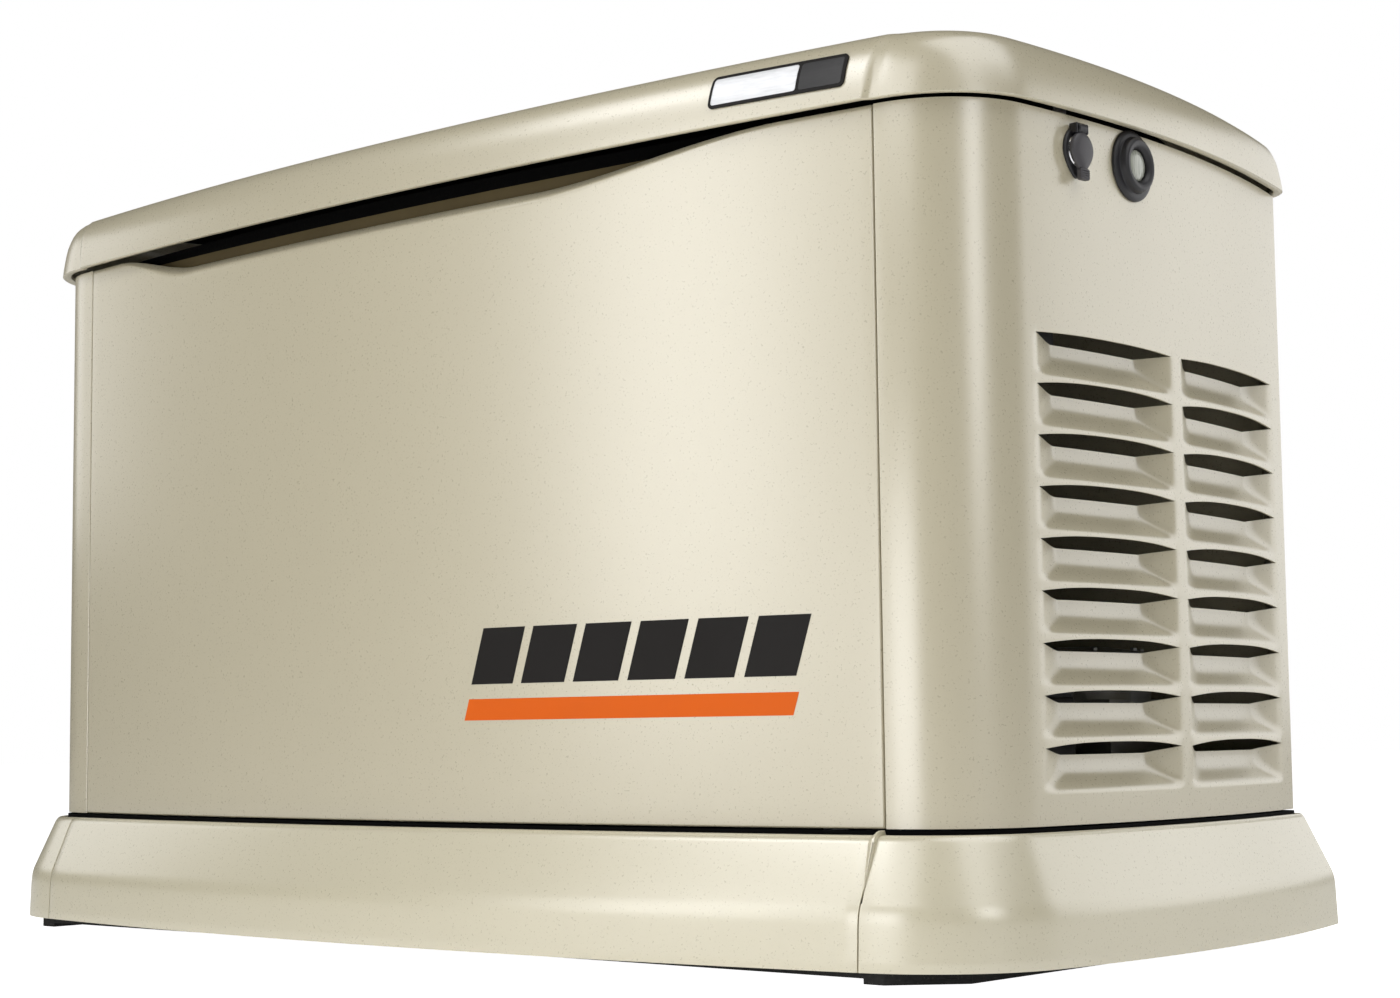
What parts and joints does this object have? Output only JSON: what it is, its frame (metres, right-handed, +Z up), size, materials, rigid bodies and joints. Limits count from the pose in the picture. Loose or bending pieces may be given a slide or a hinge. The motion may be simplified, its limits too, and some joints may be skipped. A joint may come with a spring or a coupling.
{
  "type": "home standby generator",
  "caption": "Home standby generator: bowed steel enclosure with a hinged lid, lift-off front panel and louvred ends over an air-cooled V-twin engine and alternator.",
  "frame": {"origin": "middle of the footprint, on the ground", "axes": "+Z up, +X along the enclosure towards its intake end (to the right of someone facing it), +Y from the front to the back"},
  "size_m": [1.219, 0.634, 0.7282],
  "materials": {
    "shell_paint": "fine textured powder coat",
    "pad_composite": "coarse moulded composite",
    "galvanised_steel": "galvanised",
    "black_steel": "satin black",
    "zinc_steel": "zinc plated",
    "black_plastic": "moulded, lightly grained",
    "grey_plastic": "moulded, lightly grained",
    "lens": "frosted",
    "cast_aluminium": "sand cast",
    "cast_iron": "heat stained",
    "rotor_iron": "varnished windings",
    "rubber": "moulded",
    "display_glass": "clear cover over a grey-green display",
    "green_key": "moulded",
    "amber_key": "moulded",
    "red_key": "moulded"
  },
  "bodies": {
    "enclosure": {"fascia_front": "shell_paint", "fascia_rear": "shell_paint", "fascia_right_end": "shell_paint", "fascia_left_end": "shell_paint", "intake_side_panel": "shell_paint", "exhaust_side_panel": "shell_paint", "back_panel": "shell_paint", "composite_pad": "pad_composite", "base_pan": "galvanised_steel", "front_top_rail": "galvanised_steel", "exhaust_bulkhead": "galvanised_steel", "muffler": "galvanised_steel", "hinge_right_body_leaf": "black_steel", "hinge_left_body_leaf": "black_steel", "power_unit_cradle": "black_steel", "front_valve_cover": "black_steel", "rear_valve_cover": "black_steel", "oil_filter": "black_steel", "hinge_right_pin": "zinc_steel", "hinge_left_pin": "zinc_steel", "battery_clamp": "zinc_steel", "fuel_inlet": "zinc_steel", "lock_right_body": "black_plastic", "lock_left_body": "black_plastic", "status_light_bezel": "black_plastic", "blower_housing": "black_plastic", "air_cleaner_base": "black_plastic", "air_cleaner_cover": "black_plastic", "battery": "black_plastic", "control_panel_housing": "black_plastic", "main_breaker": "black_plastic", "status_light_lens": "lens", "engine_crankcase": "cast_aluminium", "front_cylinder": "cast_aluminium", "rear_cylinder": "cast_aluminium", "alternator_stator": "cast_aluminium", "fuel_regulator": "cast_aluminium", "exhaust_manifold": "cast_iron", "rubber_mount_front_left": "rubber", "rubber_mount_front_right": "rubber", "rubber_mount_rear_left": "rubber", "rubber_mount_rear_right": "rubber", "control_display": "display_glass"},
    "lid": {"lid": "shell_paint", "hinge_right_lid_leaf": "black_steel", "hinge_left_lid_leaf": "black_steel", "lock_right_catch": "zinc_steel", "lock_left_catch": "zinc_steel"},
    "front_panel": {"front_access_panel": "shell_paint"},
    "right_lock_core": {"lock_right_core": "zinc_steel"},
    "left_lock_core": {"lock_left_core": "zinc_steel"},
    "right_lock_cover": {"lock_right_cover": "grey_plastic"},
    "left_lock_cover": {"lock_left_cover": "grey_plastic"},
    "rotor": {"crankshaft": "zinc_steel", "flywheel_fan": "cast_aluminium", "alternator_rotor": "rotor_iron"},
    "auto_key": {"auto_button": "green_key"},
    "manual_key": {"manual_button": "amber_key"},
    "off_key": {"off_button": "red_key"},
    "breaker_lever": {"breaker_toggle": "grey_plastic"}
  },
  "joints": [
    {"name": "lid_hinge", "type": "hinge", "parent": "enclosure", "child": "lid", "pos_m": [0, 0.288, 0.65], "axis": [-1, 0, 0], "range_deg": [0, 95]},
    {"name": "front_panel_pull", "type": "slide", "parent": "enclosure", "child": "front_panel", "axis": [0, -1, 0], "range_m": [0, 0.25]},
    {"name": "right_lock_turn", "type": "hinge", "parent": "enclosure", "child": "right_lock_core", "pos_m": [0.57691, -0.0991, 0.6208], "axis": [-0.9971, 0.0764, 0], "range_deg": [0, 90]},
    {"name": "left_lock_turn", "type": "hinge", "parent": "enclosure", "child": "left_lock_core", "pos_m": [-0.57691, -0.0991, 0.6208], "axis": [-0.9971, -0.0764, 0], "range_deg": [0, 90]},
    {"name": "right_lock_cover_flip", "type": "hinge", "parent": "enclosure", "child": "right_lock_cover", "pos_m": [0.58449, -0.09968, 0.6378], "axis": [-0.0764, -0.9971, 0], "range_deg": [0, 85]},
    {"name": "left_lock_cover_flip", "type": "hinge", "parent": "enclosure", "child": "left_lock_cover", "pos_m": [-0.58449, -0.09968, 0.6378], "axis": [-0.0764, 0.9971, 0], "range_deg": [0, 85]},
    {"name": "engine_turn", "type": "hinge", "parent": "enclosure", "child": "rotor", "pos_m": [0, 0, 0.23], "axis": [1, 0, 0], "continuous": true},
    {"name": "auto_key_press", "type": "slide", "parent": "enclosure", "child": "auto_key", "axis": [0, 0.5746, -0.8184], "range_m": [0, 0.0015], "stiffness_N_per_m": 400},
    {"name": "manual_key_press", "type": "slide", "parent": "enclosure", "child": "manual_key", "axis": [0, 0.5746, -0.8184], "range_m": [0, 0.0015], "stiffness_N_per_m": 400},
    {"name": "off_key_press", "type": "slide", "parent": "enclosure", "child": "off_key", "axis": [0, 0.5746, -0.8184], "range_m": [0, 0.0015], "stiffness_N_per_m": 400},
    {"name": "breaker_throw", "type": "hinge", "parent": "enclosure", "child": "breaker_lever", "pos_m": [0.5, -0.19, 0.485], "axis": [1, 0, 0], "range_deg": [0, 40]}
  ]
}
